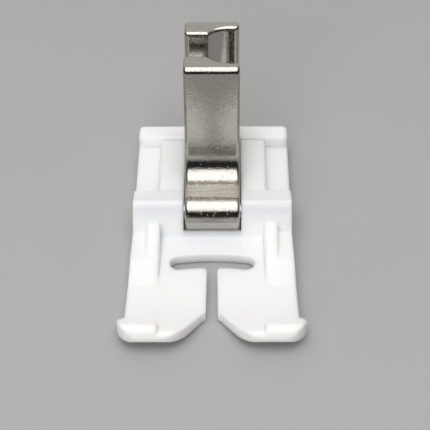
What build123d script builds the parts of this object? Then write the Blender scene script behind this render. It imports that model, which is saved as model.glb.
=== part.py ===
from build123d import *
import os
from math import asin, atan2, cos, degrees, radians, sin, tan

os.makedirs("parts", exist_ok=True)

# A hinged presser foot: toes towards -Y, heel towards +Y, sole on Z = 0. Sizes in millimetres.

# Sole plate
sole_length = 32.1
sole_width = 17.5
toe_width = 18.1
wing_flare = 0.7
pocket_floor = 1.7
toe_thickness = 1.3
toe_bend_from_tip = 5.9
toe_bend_radius = 14.0
heel_corner = 0.5
toe_lift = 0.9
wing_length = 3.2
wing_corner = 2.4

# Relief on top of the sole
bar_length = 2.3
bar_height = 3.1
bar_rounding = 0.25
ridge_height = 4.5
ridge_back_height = 3.7
ridge_back_length = 2.7
ridge_front_height = 3.3
ridge_front_length = 1.5
ridge_foot_length = 2.5
ridge_rounding = 0.5
ridge_front_rounding = 3.0
ridge_foot_rounding = 0.8
rail_outer = 7.2
rail_inner = 5.7
rail_height = 3.0
rail_to_toe_bend = 1.9
strip_height = 2.0
rail_rounding = 0.35
cheek_width = 2.9
cheek_front_height = 3.9
cheek_back_height = 2.9
cheek_rounding = 0.5
moulded_edge = 0.12
underside_edge = 0.3
bead_radius = 0.97
bead_length = 4.3
bead_end = 0.5
bead_setback = 0.1

# Needle opening
needle_slot_length = 9.15
needle_slot_width = 2.0
needle_slot_sag = 0.32
needle_slot_from_hinge = 6.0
slit_width = 1.05
slit_mouth_width = 1.25
slit_corner = 0.5
toe_cut_width = 3.0
toe_cut_length = 4.35
toe_cut_rounding = 3.3
slit_lip_radius = 0.4
slit_lip_drop = 0.12

# Hinge
hinge_from_heel = 14.5
hinge_height = 2.95
pin_radius = 0.9
pin_recess = 0.15
pin_edge = 0.15
pin_clearance = 0.05
shank_side_gap = 0.15
lug_front_gap = 0.15
heel_stop_gap = 0.15
channel_floor = 0.95

# Shank
shank_width = 6.05
shank_depth = 9.1
shank_height = 18.4
shank_front_from_hinge = 4.4
shank_front_lean = 4.1
lug_radius = 1.95
lug_bottom = 1.5
lug_corner = 0.4
neck_fillet = 2.5
shank_edge = 0.35
shank_top_edge = 0.8
fork_edge = 0.5

# Fork for the clamp screw and groove for the presser bar
screw_slot_width = 3.8
screw_slot_depth = 5.3
bar_groove_radius = 3.0
bar_groove_offset = 1.9
bar_groove_forward = 0.05
bar_groove_length = 10.2

# Places worked out from the sizes above
heel_y = sole_length / 2
tip_y = -sole_length / 2
hinge_y = heel_y - hinge_from_heel
toe_bend_y = tip_y + toe_bend_from_tip
toe_bend_run = toe_bend_from_tip - toe_thickness / 2
toe_bend_angle = degrees(asin(toe_bend_run / (toe_bend_radius - toe_thickness / 2)))
wing_y = tip_y + wing_length
wing_width = toe_width + 2 * wing_flare
needle_y = hinge_y - needle_slot_from_hinge
slot_half = (needle_slot_length - needle_slot_width) / 2
toe_cut_y = tip_y + toe_cut_length
toe_cut_angle = atan2(toe_cut_length, toe_cut_width)
toe_cut_end = toe_cut_rounding * tan(toe_cut_angle / 2)
bar_y = heel_y - bar_length
ridge_back_y = hinge_y + ridge_back_length
ridge_front_y = hinge_y - ridge_front_length
ridge_foot_y = hinge_y - ridge_foot_length
rail_end_y = toe_bend_y + rail_to_toe_bend
ridge_foot = (ridge_foot_y, toe_thickness)
ridge_front = (ridge_front_y, ridge_front_height)
ridge_crest = (hinge_y, ridge_height)
ridge_back = (ridge_back_y, ridge_back_height)
rail_middle = (rail_inner + rail_outer) / 2
rail_slope = (ridge_front_y - rail_end_y) / (rail_height - toe_thickness)
channel_width = shank_width + 2 * shank_side_gap
channel_front_y = hinge_y - lug_radius - lug_front_gap
cheek_outer = channel_width / 2 + cheek_width
bead_y = tip_y + bead_setback + bead_radius
bead_height = toe_lift + bead_radius
shank_front_y = hinge_y + shank_front_from_hinge
shank_underside = bar_height + heel_stop_gap
ledge_height = hinge_height + lug_radius
shank_neck = (shank_front_y, ledge_height)
shank_top_y = shank_front_y + (shank_height - ledge_height) * tan(radians(shank_front_lean))
shank_mid_y = shank_top_y + shank_depth / 2
shank_back_y = shank_top_y + shank_depth
fork_floor = shank_height - screw_slot_depth
groove_floor = shank_height - bar_groove_length
pin_length = sole_width - 2 * pin_recess
hinge_plane = Plane(origin=(0, hinge_y, hinge_height), x_dir=(0, 1, 0), z_dir=(1, 0, 0))

# Sole: one moulding with toes, needle opening, hinge ridge and heel bar
with BuildPart() as sole:
    # Plate with upturned toes, seen from the side
    with BuildSketch(Plane.YZ):
        with BuildLine():
            underside = Line((heel_y, 0), (toe_bend_y, 0))
            toe_under = JernArc(underside @ 1, underside % 1, toe_bend_radius, -toe_bend_angle)
            nose = JernArc(toe_under @ 1, toe_under % 1, toe_thickness / 2, -180)
            toe_top = JernArc(nose @ 1, nose % 1, toe_bend_radius - toe_thickness, toe_bend_angle)
            web_top = Line(toe_top @ 1, (hinge_y, toe_thickness))
            Polyline(web_top @ 1, (hinge_y, pocket_floor), (heel_y, pocket_floor), underside @ 0)
        make_face()
    extrude(amount=wing_width / 2, both=True)

    # Heel bar across the back
    with BuildSketch(Plane.YZ) as bar_profile:
        with Locations((heel_y, 0)):
            Rectangle(bar_length, bar_height, align=(Align.MAX, Align.MIN))
        fillet(bar_profile.vertices().group_by(Axis.Y)[-1], bar_rounding)
    extrude(amount=wing_width / 2, both=True)

    # Hinge ridge across the whole width, faired into the plate in front
    with BuildSketch(Plane.YZ) as ridge_profile:
        with BuildLine():
            Polyline(
                (rail_end_y, toe_thickness),
                ridge_foot,
                ridge_front,
                ridge_crest,
                ridge_back,
                (ridge_back_y, 0),
                (rail_end_y, 0),
                close=True,
            )
        make_face()
        for corner, rounding in (
            (ridge_foot, ridge_foot_rounding),
            (ridge_front, ridge_front_rounding),
            (ridge_crest, ridge_rounding),
            (ridge_back, ridge_rounding),
        ):
            fillet(ridge_profile.vertices().sort_by_distance(corner)[0], rounding)
    extrude(amount=wing_width / 2, both=True)

    # Cheeks that flank the shank, falling from the ridge to the heel bar
    with BuildSketch(Plane.XZ.offset(-hinge_y)) as cheek_profile:
        Rectangle(2 * cheek_outer, cheek_front_height, align=(Align.CENTER, Align.MIN))
        fillet(cheek_profile.vertices().group_by(Axis.Y)[-1], cheek_rounding)
    cheek_run = Vector(0, bar_y - hinge_y, cheek_back_height - cheek_front_height)
    extrude(amount=cheek_run.length, dir=cheek_run)

    # Rails that slope down from the ridge towards the toes
    with BuildSketch(Plane.XZ.offset(-ridge_front_y)) as rail_profile:
        with Locations((rail_inner, 0)):
            Rectangle(rail_outer - rail_inner, rail_height, align=(Align.MIN, Align.MIN))
        fillet(rail_profile.vertices().group_by(Axis.Y)[-1], rail_rounding)
    rail_run = Vector(0, rail_end_y - ridge_front_y, toe_thickness - rail_height)
    rail = extrude(amount=rail_run.length, dir=rail_run)
    mirror(rail, about=Plane.YZ)

    # Lower outer strips that meet the rails halfway
    with BuildSketch(Plane.YZ.offset(rail_middle)):
        with BuildLine():
            Polyline(
                (hinge_y, 0),
                (hinge_y, strip_height),
                (rail_end_y + (strip_height - toe_thickness) * rail_slope, strip_height),
                (rail_end_y, toe_thickness),
                (rail_end_y, 0),
                close=True,
            )
        make_face()
    strip = extrude(amount=wing_width / 2 - rail_middle)
    mirror(strip, about=Plane.YZ)

    # Raised bead across the outer front of each toe
    with BuildSketch(Plane.XY.offset(bead_height)) as bead_profile:
        with Locations((wing_width / 2, bead_y)):
            Rectangle(bead_length, bead_radius, align=(Align.MAX, Align.MIN))
        fillet(bead_profile.vertices().group_by(Axis.Y)[-1], bead_end)
    bead = revolve(axis=Axis((0, bead_y, bead_height), (1, 0, 0)))
    mirror(bead, about=Plane.YZ)

    # Plan outline: straight sides, flared toes and rounded wings
    with BuildSketch():
        with BuildLine():
            heel_edge = Line((0, heel_y), (sole_width / 2, heel_y))
            side = Polyline(heel_edge @ 1, (sole_width / 2, ridge_foot_y), (toe_width / 2, wing_y))
            shoulder = RadiusArc(side @ 1, (wing_width / 2, wing_y - wing_flare), wing_flare)
            wing = Line(shoulder @ 1, (wing_width / 2, tip_y + wing_corner))
            corner = RadiusArc(wing @ 1, (wing_width / 2 - wing_corner, tip_y), wing_corner)
            Polyline(corner @ 1, (0, tip_y), heel_edge @ 0)
        make_face()
        mirror(about=Plane.YZ)
    extrude(amount=ridge_height, mode=Mode.INTERSECT)
    fillet(sole.edges().filter_by(Axis.Z).group_by(Axis.Y)[-1], heel_corner)

    # Needle opening: a bowed slot, a slit to the front and the slanted toe corners
    with BuildSketch() as needle_opening:
        slot_path = ThreePointArc(
            (-slot_half, needle_y - needle_slot_sag),
            (0, needle_y),
            (slot_half, needle_y - needle_slot_sag),
            mode=Mode.PRIVATE,
        )
        SlotArc(slot_path, needle_slot_width)
        with BuildLine():
            Polyline(
                (0, needle_y),
                (slit_width / 2, needle_y),
                (slit_mouth_width / 2, toe_cut_y),
                (0, toe_cut_y),
                close=True,
            )
        make_face()
        with BuildLine():
            cut_corner = Vector(slit_mouth_width / 2 + toe_cut_width, tip_y)
            cut_run = Vector(cos(toe_cut_angle), -sin(toe_cut_angle))
            toe_cut = Line((slit_mouth_width / 2, toe_cut_y), cut_corner - cut_run * toe_cut_end)
            toe_round = JernArc(toe_cut @ 1, cut_run, toe_cut_rounding, degrees(toe_cut_angle))
            Polyline(toe_round @ 1, (0, tip_y), (0, toe_cut_y), toe_cut @ 0)
        make_face()
        with Locations((slit_mouth_width / 2 + slit_lip_radius, toe_cut_y - slit_lip_drop)):
            Circle(slit_lip_radius, mode=Mode.SUBTRACT)
        mirror(about=Plane.YZ)
        slit_ends = needle_opening.vertices().filter_by_position(Axis.X, -slit_width, slit_width)
        fillet(slit_ends.group_by(Axis.Y)[-1], slit_corner)
    extrude(amount=ridge_height, mode=Mode.SUBTRACT)

    # Channel for the shank and bore for the hinge pin
    with BuildSketch(Plane.XY.offset(channel_floor)):
        with Locations((0, channel_front_y)):
            Rectangle(channel_width, bar_y - channel_front_y, align=(Align.CENTER, Align.MIN))
    extrude(amount=ridge_height, mode=Mode.SUBTRACT)
    with BuildSketch(hinge_plane):
        Circle(pin_radius)
    extrude(amount=sole_width, both=True, mode=Mode.SUBTRACT)

    # Moulded roundings on the underside and the ends of the ridge
    underside_rim = sole.edges().group_by(Axis.Z)[0].filter_by(
        lambda edge: abs(edge.center().X) > rail_inner or edge.center().Y > bar_y
    )
    fillet(underside_rim, underside_edge)
    ridge_ends = sole.edges().filter_by(
        lambda edge: abs(edge.center().X) > sole_width / 2 - moulded_edge
        and edge.center().Z > strip_height
        and not edge.is_closed
    )
    fillet(ridge_ends.filter_by_position(Axis.Y, tip_y + wing_length, heel_y - heel_corner), moulded_edge)
sole.part.label = "sole"
export_step(sole.part, "parts/sole.step")

# Shank: a casting with a hinge lug in front, a fork at the top and a groove for the presser bar
with BuildPart() as shank:
    with BuildSketch(Plane.YZ) as shank_profile:
        with BuildLine():
            lug_front = Line((hinge_y - lug_radius, lug_bottom), (hinge_y - lug_radius, hinge_height))
            lug_top = RadiusArc(lug_front @ 1, (hinge_y, ledge_height), lug_radius)
            Polyline(
                lug_top @ 1,
                shank_neck,
                (shank_top_y, shank_height),
                (shank_back_y, shank_height),
                (shank_back_y, shank_underside),
                (hinge_y + lug_radius, shank_underside),
                (hinge_y + lug_radius, lug_bottom),
                lug_front @ 0,
            )
        make_face()
        fillet(shank_profile.vertices().sort_by_distance(shank_neck)[0], neck_fillet)
        fillet(shank_profile.vertices().group_by(Axis.Y)[0].sort_by(Axis.X)[0], lug_corner)
        fillet(shank_profile.vertices().group_by(Axis.Y)[-1], shank_top_edge)
    extrude(amount=shank_width / 2, both=True)
    sides = shank.faces().filter_by(Axis.X)
    fillet(sides.edges(), shank_edge)

    # Fork for the clamp screw, open at the top with a round floor
    with BuildSketch(Plane.YZ):
        with Locations((shank_mid_y, fork_floor + screw_slot_width / 2)):
            Circle(screw_slot_width / 2)
            Rectangle(screw_slot_width, screw_slot_depth, align=(Align.CENTER, Align.MIN))
    extrude(amount=shank_width, both=True, mode=Mode.SUBTRACT)

    # Half-round groove for the presser bar, open to the right and at the top
    with BuildSketch(Plane.XY.offset(groove_floor)):
        with Locations((bar_groove_offset, shank_mid_y - bar_groove_forward)):
            Circle(bar_groove_radius)
            Rectangle(shank_width, 2 * bar_groove_radius, align=(Align.MIN, Align.CENTER))
    extrude(amount=bar_groove_length, mode=Mode.SUBTRACT)

    # Rounded mouth of the fork and the groove
    mouth_inset = shank_top_edge * 1.2
    mouth = shank.edges().group_by(Axis.Z)[-1].filter_by(Axis.Y, reverse=True)
    mouth = mouth.filter_by_position(Axis.Y, shank_top_y + mouth_inset, shank_back_y - mouth_inset)
    fork_reach = (screw_slot_width + shank_edge) / 2
    fork_side = shank.faces().sort_by(Axis.X)[0].edges()
    fork_side = fork_side.filter_by_position(Axis.Y, shank_mid_y - fork_reach, shank_mid_y + fork_reach)
    fillet(mouth + fork_side.filter_by_position(Axis.Z, fork_floor, shank_height), fork_edge)

    # Running bore for the hinge pin
    with BuildSketch(hinge_plane):
        Circle(pin_radius + pin_clearance)
    extrude(amount=shank_width, both=True, mode=Mode.SUBTRACT)
shank.part.label = "shank"
export_step(shank.part, "parts/shank.step")

# Hinge pin: a plain steel pin pressed into the sole
with BuildPart() as hinge_pin:
    with BuildSketch(hinge_plane):
        Circle(pin_radius)
    extrude(amount=pin_length / 2, both=True)
    chamfer(hinge_pin.edges().filter_by(GeomType.CIRCLE), pin_edge)
hinge_pin.part.label = "hinge_pin"
export_step(hinge_pin.part, "parts/hinge_pin.step")
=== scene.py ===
import math

import bmesh
import bpy
from bpy.props import FloatProperty, FloatVectorProperty, PointerProperty
from mathutils import Matrix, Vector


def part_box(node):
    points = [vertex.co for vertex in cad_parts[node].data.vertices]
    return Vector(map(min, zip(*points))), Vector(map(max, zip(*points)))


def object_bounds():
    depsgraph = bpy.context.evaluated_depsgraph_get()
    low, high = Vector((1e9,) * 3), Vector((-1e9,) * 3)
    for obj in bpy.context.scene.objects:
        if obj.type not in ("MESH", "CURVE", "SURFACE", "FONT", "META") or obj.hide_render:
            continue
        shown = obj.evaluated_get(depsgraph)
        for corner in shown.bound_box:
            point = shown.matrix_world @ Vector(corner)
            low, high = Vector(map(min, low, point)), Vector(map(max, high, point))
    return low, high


bl_info = {
    "name": "Presser Foot Finish",
    "version": (1, 0, 0),
    "blender": (4, 5, 0),
    "location": "3D View > Sidebar > Presser Foot",
    "description": "Finishes, light and camera for a hinged sewing machine presser foot",
    "category": "Object",
}

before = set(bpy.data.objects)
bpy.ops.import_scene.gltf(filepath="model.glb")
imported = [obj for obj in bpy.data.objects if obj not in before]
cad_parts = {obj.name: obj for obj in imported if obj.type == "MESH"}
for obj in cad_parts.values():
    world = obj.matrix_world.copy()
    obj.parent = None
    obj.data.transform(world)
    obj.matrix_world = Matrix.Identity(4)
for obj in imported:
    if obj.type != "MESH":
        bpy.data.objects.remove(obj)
cad_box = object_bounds()
MILLIMETRE = 0.001

# The camera: width of the photograph in pixels, of the sensor in millimetres, nearest distance in metres
IMAGE_PIXELS = 430
SENSOR_WIDTH = 36.0
NEAREST_VISIBLE = 0.005

# The worn ledge of the shank, also painted lighter as a reflection, with painted shade at its bends: its
# ends at the lug and at the neck along Y, and its height, in metres
LEDGE_FRONT = 0.00155
LEDGE_BACK = 0.0040
LEDGE_HEIGHT = 0.0049

# The ragged ends of the ledge: how far they wander and how softly they fade, in tenths of a millimetre
TENTHS_PER_METRE = 10000
LEDGE_WANDER = 14
LEDGE_FADE = 3


class Shade:
    """A socket in a material's node tree; arithmetic on it adds Math nodes."""

    def __init__(self, tree, socket=None):
        self.tree = tree
        self.socket = socket

    def feed(self, socket, value):
        """Link a shade to a socket, or set the socket to a plain value."""
        if isinstance(value, Shade):
            self.tree.links.new(value.socket, socket)
        else:
            socket.default_value = value

    def add(self, kind, settings=None, inputs=None, output=0):
        """Add a node of any type, with its settings first and then its sockets."""
        node = self.tree.nodes.new(kind)
        for name, value in (settings or {}).items():
            setattr(node, name, value)
        for name, value in (inputs or {}).items():
            self.feed(node.inputs[name], value)
        return Shade(self.tree, node.outputs[output])

    def math(self, operation, first, second):
        """Combine two values with a Math node."""
        return self.add("ShaderNodeMath", {"operation": operation}, {0: first, 1: second})

    def blend(self, mask, first, second):
        """Mix two colours by a mask."""
        return self.add("ShaderNodeMix", {"data_type": "RGBA"}, {0: mask, 6: first, 7: second}, output=2)

    def axis(self, letter):
        """One coordinate of a place or of a direction."""
        return self.add("ShaderNodeSeparateXYZ", None, {0: self}, output=letter)

    def between(self, low, high):
        """Rise smoothly from 0 at low to 1 at high."""
        return self.add(
            "ShaderNodeMapRange",
            {"interpolation_type": "SMOOTHSTEP"},
            {"Value": self, "From Min": low, "From Max": high},
        )

    def spread(self, low, high):
        """Stretch a shade of 0 to 1 so that it runs from low to high."""
        return self * (high - low) + low

    def __add__(self, other):
        return self.math("ADD", self, other)

    def __radd__(self, other):
        return self.math("ADD", other, self)

    def __sub__(self, other):
        return self.math("SUBTRACT", self, other)

    def __rsub__(self, other):
        return self.math("SUBTRACT", other, self)

    def __mul__(self, other):
        return self.math("MULTIPLY", self, other)

    def __rmul__(self, other):
        return self.math("MULTIPLY", other, self)


def new_finish(name):
    """A material with its shader, and the place on the piece in its own coordinates."""
    material = bpy.data.materials.new(name)
    material.use_nodes = True
    shader = material.node_tree.nodes["Principled BSDF"]
    start = Shade(material.node_tree)
    place = start.add("ShaderNodeTexCoord", output="Object")
    return material, shader, place


def opaque(colour, brightness=1.0):
    """A colour as a shader socket takes it, dimmed to a share of its brightness."""
    return (*(brightness * part for part in colour), 1)


def mottle(place, size, detail=3.0, roughness=0.5):
    """Soft noise between 0 and 1 whose blotches are about this size."""
    return place.add(
        "ShaderNodeTexNoise",
        None,
        {"Vector": place, "Scale": 1 / size, "Detail": detail, "Roughness": roughness},
    )


def pits(place, spacing, radius):
    """1 inside small round pits scattered at about this spacing, 0 outside."""
    distance = place.add("ShaderNodeTexVoronoi", {"feature": "F1"}, {"Vector": place, "Scale": 1 / spacing})
    return 1 - distance.between(radius / spacing * 0.5, radius / spacing)


def soft_edges(place, radius):
    """The surface direction, with sharp edges rounded over this radius."""
    return place.add("ShaderNodeBevel", {"samples": 8}, {"Radius": radius})


def relief(place, height, depth, normal):
    """A bump on the surface, where a height of 1 stands this far out."""
    return place.add("ShaderNodeBump", None, {"Height": height, "Distance": depth, "Normal": normal})


def dress(node, material):
    """Give a CAD node its finish."""
    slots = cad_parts[node].data.materials
    slots.clear()
    slots.append(material)


class PresserFootSole(bpy.types.PropertyGroup):
    colour: FloatVectorProperty(
        name="Plastic",
        description="Colour of the white moulding",
        subtype="COLOR",
        default=(0.925, 0.935, 0.94),
    )
    toe_colour: FloatVectorProperty(
        name="Toes",
        description="Warmer white towards the toes",
        subtype="COLOR",
        default=(0.885, 0.875, 0.855),
    )
    # Greyer white painted on the thin floor as shade, where light passes through the thin plastic
    thin_floor_shade: FloatVectorProperty(
        name="Thin floor",
        description="Greyer white of the thin floor",
        subtype="COLOR",
        default=(0.86, 0.88, 0.89),
    )
    cloud_size: FloatProperty(
        name="Clouds", description="Size of the broad clouds", unit="LENGTH", default=6.0 * MILLIMETRE
    )
    flow_size: FloatProperty(
        name="Flow marks", description="Size of the flow marks", unit="LENGTH", default=1.8 * MILLIMETRE
    )
    flow_brightness: FloatProperty(
        name="Flow brightness",
        description="Brightness of the flow marks beside the plastic's own",
        subtype="FACTOR",
        default=0.965,
        min=0,
        max=1,
    )
    skin_size: FloatProperty(
        name="Skin", description="Size of the skin's texture", unit="LENGTH", default=0.35 * MILLIMETRE
    )
    skin_depth: FloatProperty(
        name="Skin depth", description="Depth of that texture", unit="LENGTH", default=0.004 * MILLIMETRE
    )
    roughness: FloatProperty(
        name="Roughness", description="Sheen of the moulding", subtype="FACTOR", default=0.34, min=0, max=1
    )
    edge: FloatProperty(
        name="Edge", description="Radius of the moulded edges", unit="LENGTH", default=0.45 * MILLIMETRE
    )
    glow: FloatProperty(
        name="Glow", description="Share of light that enters", subtype="FACTOR", default=0.9, min=0, max=1
    )
    glow_depth: FloatProperty(
        name="Glow depth", description="How far light spreads", unit="LENGTH", default=1.2 * MILLIMETRE
    )
    refraction: FloatProperty(
        name="Refraction", description="Refractive index of the plastic", default=1.42, min=1
    )


class PresserFootShank(bpy.types.PropertyGroup):
    colour: FloatVectorProperty(
        name="Nickel",
        description="Colour of the bright plating",
        subtype="COLOR",
        default=(0.45, 0.435, 0.40),
    )
    # Colour of stained plating, also painted as shade in a dark line at each bend of the ledge
    tarnish_and_shade: FloatVectorProperty(
        name="Tarnish",
        description="Colour of thin or stained plating",
        subtype="COLOR",
        default=(0.20, 0.165, 0.13),
    )
    # Lighter colour painted as glints in the pits, and on the scuffed ledge as wear with a painted
    # reflection
    glint_and_scuff: FloatVectorProperty(
        name="Specks",
        description="Colour of the small bright pits and of the scuffs",
        subtype="COLOR",
        default=(0.63, 0.61, 0.57),
    )
    peel_size: FloatProperty(
        name="Peel", description="Size of the plating's ripples", unit="LENGTH", default=0.5 * MILLIMETRE
    )
    grain_size: FloatProperty(
        name="Grain", description="Size of the plating's grain", unit="LENGTH", default=0.17 * MILLIMETRE
    )
    grit_size: FloatProperty(
        name="Grit", description="Size of the grit on the lug", unit="LENGTH", default=0.11 * MILLIMETRE
    )
    stain_size: FloatProperty(
        name="Stains", description="Size of the stains", unit="LENGTH", default=1.4 * MILLIMETRE
    )
    patch_size: FloatProperty(
        name="Patches", description="Size of the pitted patches", unit="LENGTH", default=2.0 * MILLIMETRE
    )
    pit_spacing: FloatProperty(
        name="Pit spacing", description="Distance between pits", unit="LENGTH", default=0.4 * MILLIMETRE
    )
    pit_radius: FloatProperty(
        name="Pit radius", description="Radius of a pit", unit="LENGTH", default=0.07 * MILLIMETRE
    )
    scuff_size: FloatProperty(
        name="Scuffs", description="Width of the ledge's scuffs", unit="LENGTH", default=0.2 * MILLIMETRE
    )
    tear_size: FloatProperty(
        name="Tears", description="Size of the ragged ends", unit="LENGTH", default=0.22 * MILLIMETRE
    )
    relief_depth: FloatProperty(
        name="Relief", description="Depth of the texture", unit="LENGTH", default=0.013 * MILLIMETRE
    )
    roughness: FloatProperty(
        name="Roughness", description="Polish of the plating", subtype="FACTOR", default=0.09, min=0, max=1
    )
    edge: FloatProperty(
        name="Edge", description="Radius of the worn edges", unit="LENGTH", default=0.12 * MILLIMETRE
    )


class PresserFootPin(bpy.types.PropertyGroup):
    colour: FloatVectorProperty(
        name="Steel", description="Colour of the ground pin", subtype="COLOR", default=(0.60, 0.59, 0.58)
    )
    ring_width: FloatProperty(
        name="Rings", description="Width of the turning marks", unit="LENGTH", default=MILLIMETRE / 30
    )
    ring_depth: FloatProperty(
        name="Ring depth", description="Depth of those marks", unit="LENGTH", default=0.006 * MILLIMETRE
    )
    ring_brightness: FloatProperty(
        name="Ring brightness",
        description="Brightness of the darkest turning marks beside the steel's own",
        subtype="FACTOR",
        default=0.55,
        min=0,
        max=1,
    )
    smear_size: FloatProperty(
        name="Smears", description="Size of the smears", unit="LENGTH", default=0.4 * MILLIMETRE
    )
    roughness: FloatProperty(
        name="Roughness", description="Polish of the pin", subtype="FACTOR", default=0.3, min=0, max=1
    )
    edge: FloatProperty(
        name="Edge", description="Radius of the pin's edges", unit="LENGTH", default=0.08 * MILLIMETRE
    )


class PresserFootStage(bpy.types.PropertyGroup):
    floor_colour: FloatVectorProperty(
        name="Floor", description="Colour of the plain floor", subtype="COLOR", default=(0.41, 0.41, 0.405)
    )
    floor_size: FloatProperty(
        name="Floor size", description="Width of the floor", unit="LENGTH", default=4.0
    )
    floor_roughness: FloatProperty(
        name="Floor sheen", description="Sheen of the floor", subtype="FACTOR", default=0.7, min=0, max=1
    )
    cloud_size: FloatProperty(
        name="Clouds", description="Size of the floor's clouds", unit="LENGTH", default=25.0 * MILLIMETRE
    )
    cloud_brightness: FloatProperty(
        name="Cloud brightness",
        description="Brightness of the floor's darkest clouds beside its own",
        subtype="FACTOR",
        default=0.96,
        min=0,
        max=1,
    )
    sky: FloatProperty(
        name="Sky", description="Strength of the soft light from all round", default=0.72, min=0
    )
    sky_front: FloatVectorProperty(
        name="Sky in front",
        description="Tone of the sky in front of the foot",
        subtype="COLOR",
        default=(0.055, 0.053, 0.05),
    )
    sky_back: FloatVectorProperty(
        name="Sky behind",
        description="Tone of the sky behind the foot",
        subtype="COLOR",
        default=(1.0, 0.98, 0.95),
    )
    side_dimming: FloatProperty(
        name="Side dimming",
        description="Share of the back's glow that is missing at the sides",
        subtype="FACTOR",
        default=0.8,
        min=0,
        max=1,
    )
    key_power: FloatProperty(
        name="Key", description="Power of the overhead softbox", unit="POWER", default=1.02
    )
    key_size: FloatProperty(
        name="Key size", description="Width of the overhead softbox", unit="LENGTH", default=0.45
    )
    key_place: FloatVectorProperty(
        name="Key place",
        description="Position of the overhead softbox",
        subtype="TRANSLATION",
        default=(-0.02, -0.075, 0.35),
    )
    fill_power: FloatProperty(
        name="Fill", description="Power of the low lamp in front", unit="POWER", default=0.62
    )
    fill_size: FloatProperty(
        name="Fill size", description="Width of the low lamp in front", unit="LENGTH", default=0.3
    )
    fill_place: FloatVectorProperty(
        name="Fill place",
        description="Position of the low lamp in front",
        subtype="TRANSLATION",
        default=(-0.12, -0.36, 0.14),
    )
    focal_pixels: FloatProperty(
        name="Focal length", description="Camera focal length in pixels", default=1252.0
    )
    camera_place: FloatVectorProperty(
        name="Camera",
        description="Camera position",
        subtype="TRANSLATION",
        default=(0.00148, -0.09808, 0.09923),
    )
    camera_pitch: FloatProperty(
        name="Pitch", description="Camera tilt below level", subtype="ANGLE", default=math.radians(44.19)
    )
    camera_turn: FloatProperty(
        name="Turn", description="Camera turn to the left", subtype="ANGLE", default=math.radians(0.69)
    )
    camera_roll: FloatProperty(
        name="Roll", description="Camera roll", subtype="ANGLE", default=math.radians(-0.61)
    )


class PRESSERFOOT_OT_sole(bpy.types.Operator):
    """Finish the sole as a white low-friction moulding"""

    bl_idname = "presser_foot.sole"
    bl_label = "White sole"

    def execute(self, context):
        look = context.scene.presser_foot_sole
        material, shader, place = new_finish("white_plastic")
        low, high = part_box("sole")
        along = place.axis("Y")
        above = place.axis("Z")

        # Warmer towards the toes, greyer on the thin floor behind them as painted shade where light passes
        # through the thin plastic, with faint flow marks all over
        middle = (low.y + high.y) / 2
        floor_start = low.y * 0.55
        thin_below = high.z * 0.28
        thick_above = high.z * 0.45
        toes = 1 - along.between(low.y, middle)
        thin = along.between(floor_start, middle) * (1 - above.between(thin_below, thick_above))
        cloud = mottle(place, look.cloud_size)
        flow = mottle(place, look.flow_size, detail=5.0).between(0.35, 0.7)
        base = place.blend(toes * cloud.spread(0.6, 1.0), opaque(look.colour), opaque(look.toe_colour))
        # Painted shade: the thin floor is greyed where light passes through
        base = place.blend(thin * cloud.spread(0.7, 1.0), base, opaque(look.thin_floor_shade))
        base = place.blend(flow * 0.5, base, opaque(look.colour, look.flow_brightness))
        place.feed(shader.inputs["Base Color"], base)

        # A finely textured skin with an uneven sheen
        uneven = 0.06
        skin = mottle(place, look.skin_size, detail=4.0, roughness=0.6)
        sheen = skin.spread(look.roughness - uneven, look.roughness + uneven)
        place.feed(shader.inputs["Roughness"], sheen)
        normal = relief(place, skin, look.skin_depth, soft_edges(place, look.edge))
        place.feed(shader.inputs["Normal"], normal)

        # Light that enters the plastic and spreads, red a little further than blue
        shader.inputs["Subsurface Weight"].default_value = look.glow
        shader.inputs["Subsurface Scale"].default_value = look.glow_depth
        shader.inputs["Subsurface Radius"].default_value = (1.0, 0.9, 0.8)
        shader.inputs["IOR"].default_value = look.refraction
        dress("sole", material)
        return {"FINISHED"}


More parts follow.
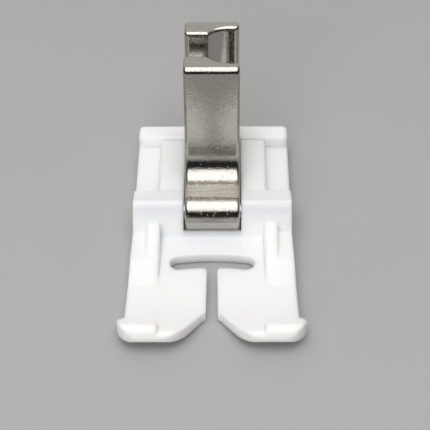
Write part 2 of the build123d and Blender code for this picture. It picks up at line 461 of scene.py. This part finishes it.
class PRESSERFOOT_OT_shank(bpy.types.Operator):
    """Finish the shank as bright nickel plate over a casting"""

    bl_idname = "presser_foot.shank"
    bl_label = "Nickel shank"

    def execute(self, context):
        look = context.scene.presser_foot_shank
        material, shader, place = new_finish("nickel_plate")
        low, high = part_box("shank")
        along = place.axis("Y")
        above = place.axis("Z")
        rise = high.z - low.z
        lug = 1 - above.between(low.z + rise * 0.25, low.z + rise * 0.4)

        # Ripples and grain all over, stains, and pits that gather in patches
        peel = mottle(place, look.peel_size, detail=4.0, roughness=0.55)
        grain = mottle(place, look.grain_size, detail=2.0)
        grit = mottle(place, look.grit_size, detail=1.0)
        stain = mottle(place, look.stain_size, detail=5.0, roughness=0.65).between(0.56, 0.78)
        patches = mottle(place, look.patch_size).between(0.42, 0.5)
        pits_and_glints = pits(place, look.pit_spacing, look.pit_radius) * patches

        # The ledge, which ends raggedly at the lug and at the neck, with scuffs drawn out across it
        drawn = place.add("ShaderNodeMapping", None, {"Vector": place, "Scale": (0.06, 1.0, 1.0)})
        scuffs = mottle(drawn, look.scuff_size, detail=3.0, roughness=0.6).between(0.35, 0.65)
        on_top = above.between(LEDGE_HEIGHT - 0.15 * MILLIMETRE, LEDGE_HEIGHT - 0.05 * MILLIMETRE)
        torn = mottle(place, look.tear_size, detail=3.0, roughness=0.7)
        ragged = along * TENTHS_PER_METRE + torn * LEDGE_WANDER - LEDGE_WANDER / 2
        front = LEDGE_FRONT * TENTHS_PER_METRE
        back = LEDGE_BACK * TENTHS_PER_METRE
        ledge = ragged.between(front - LEDGE_FADE, front + LEDGE_FADE) * on_top
        ledge = ledge * (1 - ragged.between(back - LEDGE_FADE, back + LEDGE_FADE))

        # Stained plating, pits painted lighter as glints, a scuffed ledge painted lighter as a reflection
        # too, and a dark line of painted shade at each of its two bends
        base = place.blend(stain * 0.45, opaque(look.colour), opaque(look.tarnish_and_shade))
        # Pits painted lighter as glints
        base = place.blend(pits_and_glints, base, opaque(look.glint_and_scuff))
        # The ledge is scuffed and worn, and also painted lighter as a reflection
        base = place.blend(ledge * scuffs.spread(0.2, 1.0), base, opaque(look.glint_and_scuff))
        # Painted shade: a dark line along each bend of the ledge
        bend_shade_reach = LEDGE_FADE * LEDGE_FADE
        for bend in (front, back):
            offset = ragged - bend
            bend_shade = (1 - (offset * offset).between(bend_shade_reach / 6, bend_shade_reach)) * on_top
            base = place.blend(bend_shade * 0.8, base, opaque(look.tarnish_and_shade))
        place.feed(shader.inputs["Base Color"], base)

        dull = grain * 0.08 + stain * 0.1 + pits_and_glints * 0.3 + ledge * scuffs.spread(0.15, 0.4)
        place.feed(shader.inputs["Roughness"], dull + (look.roughness - 0.04))
        height = peel * 0.7 + grain + grit * lug * 1.2 + ledge * scuffs - pits_and_glints * 2
        normal = relief(place, height, look.relief_depth, soft_edges(place, look.edge))
        place.feed(shader.inputs["Normal"], normal)
        shader.inputs["Metallic"].default_value = 1.0
        dress("shank", material)
        return {"FINISHED"}


class PRESSERFOOT_OT_pin(bpy.types.Operator):
    """Finish the hinge pin as ground steel with turned ends"""

    bl_idname = "presser_foot.pin"
    bl_label = "Steel hinge pin"

    def execute(self, context):
        look = context.scene.presser_foot_pin
        material, shader, place = new_finish("pin_steel")
        low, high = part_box("hinge_pin")
        centre = (low + high) / 2

        # Turning marks in rings round the pin's own axis, smeared here and there
        across = {"Vector": place, "Location": -centre, "Scale": (0.0, 1.0, 1.0)}
        from_axis = place.add("ShaderNodeMapping", None, across)
        radius = place.add("ShaderNodeVectorMath", {"operation": "LENGTH"}, {0: from_axis}, output="Value")
        rings = place.add(
            "ShaderNodeTexNoise",
            {"noise_dimensions": "1D"},
            {"W": radius * (1 / look.ring_width), "Scale": 1.0, "Detail": 2.0},
        )
        smear = mottle(place, look.smear_size, detail=4.0)
        dark = opaque(look.colour, look.ring_brightness)
        place.feed(shader.inputs["Base Color"], place.blend(rings * smear, opaque(look.colour), dark))

        uneven = 0.1
        polish = rings.spread(look.roughness - uneven, look.roughness + uneven)
        place.feed(shader.inputs["Roughness"], polish)
        normal = relief(place, rings, look.ring_depth, soft_edges(place, look.edge))
        place.feed(shader.inputs["Normal"], normal)
        shader.inputs["Metallic"].default_value = 1.0
        dress("hinge_pin", material)
        return {"FINISHED"}


class PRESSERFOOT_OT_stage(bpy.types.Operator):
    """Set the pale floor, the soft light and the camera"""

    bl_idname = "presser_foot.stage"
    bl_label = "Floor, light and camera"

    def execute(self, context):
        scene = context.scene
        look = scene.presser_foot_stage
        self.lay_floor(scene, look)
        self.light_sky(scene, look)
        self.hang_softbox(scene, "key_softbox", look.key_place, look.key_size, look.key_power)
        fill = self.hang_softbox(scene, "fill_lamp", look.fill_place, look.fill_size, look.fill_power)
        fill.visible_glossy = False
        self.place_camera(scene, look)
        scene.view_settings.view_transform = "Standard"
        return {"FINISHED"}

    def lay_floor(self, scene, look):
        """A plain sheet at the height of the sole's underside, very faintly clouded."""
        sheet = bmesh.new()
        ground = Matrix.Translation((0, 0, cad_box[0].z))
        bmesh.ops.create_grid(sheet, x_segments=1, y_segments=1, size=look.floor_size / 2, matrix=ground)
        mesh = bpy.data.meshes.new("floor")
        sheet.to_mesh(mesh)
        sheet.free()
        floor = bpy.data.objects.new("floor", mesh)
        scene.collection.objects.link(floor)
        material, shader, place = new_finish("floor_paper")
        cloud = mottle(place, look.cloud_size)
        darker = opaque(look.floor_colour, look.cloud_brightness)
        place.feed(shader.inputs["Base Color"], place.blend(cloud, opaque(look.floor_colour), darker))
        shader.inputs["Roughness"].default_value = look.floor_roughness
        floor.data.materials.append(material)

    def light_sky(self, scene, look):
        """A soft sky: bright behind the foot, dimmer at the sides and dark in front."""
        world = scene.world or bpy.data.worlds.new("studio")
        scene.world = world
        world.use_nodes = True
        backdrop = world.node_tree.nodes["Background"]
        start = Shade(world.node_tree)
        direction = start.add("ShaderNodeTexCoord", output="Generated")
        behind = direction.axis("Y")
        aside = direction.axis("X")
        sides = (aside * aside).between(0.1, 0.9)
        glow = behind.between(-0.85, 0.55) * (1 - sides * look.side_dimming)
        tone = start.blend(glow, opaque(look.sky_front), opaque(look.sky_back))
        start.feed(backdrop.inputs["Color"], tone)
        backdrop.inputs["Strength"].default_value = look.sky

    def hang_softbox(self, scene, name, position, size, power):
        """A round lamp that faces the foot."""
        lamp = bpy.data.lights.new(name, "AREA")
        lamp.shape = "DISK"
        lamp.size = size
        lamp.energy = power
        softbox = bpy.data.objects.new(name, lamp)
        softbox.location = position
        softbox.rotation_euler = (-position).to_track_quat("-Z", "Y").to_euler()
        scene.collection.objects.link(softbox)
        return softbox

    def place_camera(self, scene, look):
        """The camera as it stood for the photograph."""
        lens = bpy.data.cameras.new("photo_camera")
        lens.sensor_width = SENSOR_WIDTH
        lens.lens = look.focal_pixels / IMAGE_PIXELS * SENSOR_WIDTH
        lens.clip_start = NEAREST_VISIBLE
        camera = bpy.data.objects.new("photo_camera", lens)
        turn = Matrix.Rotation(look.camera_turn, 4, "Z")
        tilt = Matrix.Rotation(math.pi / 2 - look.camera_pitch, 4, "X")
        roll = Matrix.Rotation(look.camera_roll, 4, "Z")
        camera.matrix_world = Matrix.Translation(look.camera_place) @ turn @ tilt @ roll
        scene.collection.objects.link(camera)
        scene.camera = camera


class PRESSERFOOT_PT_sidebar(bpy.types.Panel):
    """Lists the finishing steps of the presser foot"""

    bl_label = "Presser Foot"
    bl_idname = "PRESSERFOOT_PT_sidebar"
    bl_space_type = "VIEW_3D"
    bl_region_type = "UI"
    bl_category = "Presser Foot"

    def draw(self, context):
        for step in STEPS:
            self.layout.operator(step.bl_idname)


GROUPS = {
    "presser_foot_sole": PresserFootSole,
    "presser_foot_shank": PresserFootShank,
    "presser_foot_pin": PresserFootPin,
    "presser_foot_stage": PresserFootStage,
}
STEPS = (PRESSERFOOT_OT_sole, PRESSERFOOT_OT_shank, PRESSERFOOT_OT_pin, PRESSERFOOT_OT_stage)


def register():
    for group in (*GROUPS.values(), *STEPS, PRESSERFOOT_PT_sidebar):
        bpy.utils.register_class(group)
    for name, group in GROUPS.items():
        setattr(bpy.types.Scene, name, PointerProperty(type=group))


def unregister():
    for name in GROUPS:
        delattr(bpy.types.Scene, name)
    for group in (PRESSERFOOT_PT_sidebar, *reversed(STEPS), *reversed(GROUPS.values())):
        bpy.utils.unregister_class(group)


def main():
    register()
    bpy.ops.presser_foot.sole()
    bpy.ops.presser_foot.shank()
    bpy.ops.presser_foot.pin()
    bpy.ops.presser_foot.stage()


if __name__ == "__main__":
    main()
